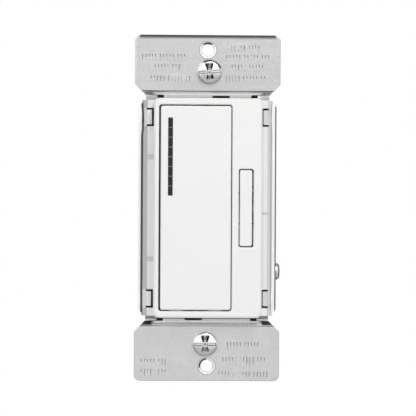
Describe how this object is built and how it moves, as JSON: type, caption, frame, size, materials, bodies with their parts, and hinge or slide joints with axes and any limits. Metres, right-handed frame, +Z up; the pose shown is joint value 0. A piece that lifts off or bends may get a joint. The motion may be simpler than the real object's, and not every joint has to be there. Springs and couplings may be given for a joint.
{
  "type": "accessory dimmer switch",
  "caption": "Wall-box accessory dimmer with a large tap paddle, a light bar, a narrow dimming rocker and a metal mounting strap with screws.",
  "frame": {"origin": "on the back plane of the strap ears, at the centre of the screw patterns", "axes": "+X right and +Z up as seen from the room, +Y into the wall; the buttons face -Y"},
  "size_m": [0.0459, 0.037, 0.1062],
  "materials": {
    "strap_steel": "satin zinc plated sheet",
    "faceplate_white": "fine satin moulded",
    "carrier_white": "moulded",
    "window_smoke": "smoked clear",
    "guide_clear": "clear moulded",
    "led_chip": "chip",
    "fibre_sheet": "pressed fibre",
    "switch_black": "moulded",
    "switch_cover": "tinned sheet",
    "plunger_plastic": "moulded",
    "board_green": "solder mask",
    "header_black": "moulded with tinned pins",
    "chip_black": "moulded",
    "film_red": "dipped",
    "can_sleeve": "shrink sleeve",
    "varistor_blue": "dipped",
    "choke_sleeve": "shrink sleeve",
    "resistor_body": "cement coat",
    "housing_white": "moulded",
    "screw_steel": "bright zinc",
    "terminal_brass": "bright sheet",
    "clamp_steel": "zinc plated",
    "ground_green": "green passivated"
  },
  "bodies": {
    "device": {"board_header": "header_black", "bridge_rectifier": "chip_black", "button_carrier": "carrier_white", "chip_resistors": "chip_black", "choke": "choke_sleeve", "control_board": "board_green", "electrolytic_capacitor": "can_sleeve", "faceplate_frame": "faceplate_white", "film_capacitor": "film_red", "ground_bracket": "clamp_steel", "ground_screw": "ground_green", "housing_screws": "screw_steel", "insulation_sheet": "fibre_sheet", "light_guide": "guide_clear", "line_terminal": "terminal_brass", "lower_switch_body": "switch_black", "lower_switch_cover": "switch_cover", "microcontroller": "chip_black", "mounting_screws": "screw_steel", "mounting_strap": "strap_steel", "neutral_terminal": "terminal_brass", "optocoupler": "chip_black", "power_board": "board_green", "power_resistor": "resistor_body", "raise_switch_body": "switch_black", "raise_switch_cover": "switch_cover", "rear_housing": "housing_white", "screw_retainers": "fibre_sheet", "status_leds": "led_chip", "tap_switch_body": "switch_black", "tap_switch_cover": "switch_cover", "terminal_clamps": "clamp_steel", "terminal_screws": "clamp_steel", "traveler_terminal": "terminal_brass", "varistor": "varistor_blue"},
    "paddle": {"tap_paddle": "faceplate_white", "led_window": "window_smoke"},
    "rocker": {"dim_rocker": "faceplate_white"},
    "tap_plunger": {"tap_switch_plunger": "plunger_plastic"},
    "raise_plunger": {"raise_switch_plunger": "plunger_plastic"},
    "lower_plunger": {"lower_switch_plunger": "plunger_plastic"}
  },
  "joints": [
    {"name": "paddle_press", "type": "hinge", "parent": "device", "child": "paddle", "pos_m": [-0.00375, -0.0043, 0.0284], "axis": [1, 0, 0], "range_deg": [0, 1.2], "stiffness_Nm_per_rad": 1.6, "springref_deg": -0.23},
    {"name": "rocker_tilt", "type": "hinge", "parent": "device", "child": "rocker", "pos_m": [0.01158, -0.0046, 0], "axis": [1, 0, 0], "range_deg": [-3, 3], "stiffness_Nm_per_rad": 0.12},
    {"name": "tap_press", "type": "slide", "parent": "device", "child": "tap_plunger", "axis": [0, 1, 0], "range_m": [0, 0.00052]},
    {"name": "raise_press", "type": "slide", "parent": "device", "child": "raise_plunger", "axis": [0, 1, 0], "range_m": [-0.00046, 0.00046]},
    {"name": "lower_press", "type": "slide", "parent": "device", "child": "lower_plunger", "axis": [0, 1, 0], "range_m": [-0.00046, 0.00046]}
  ],
  "couplings": [
    {"joint": "tap_press", "follows": "paddle_press", "m_per_rad": 0.0234},
    {"joint": "raise_press", "follows": "rocker_tilt", "m_per_rad": -0.008},
    {"joint": "lower_press", "follows": "rocker_tilt", "m_per_rad": 0.008}
  ]
}
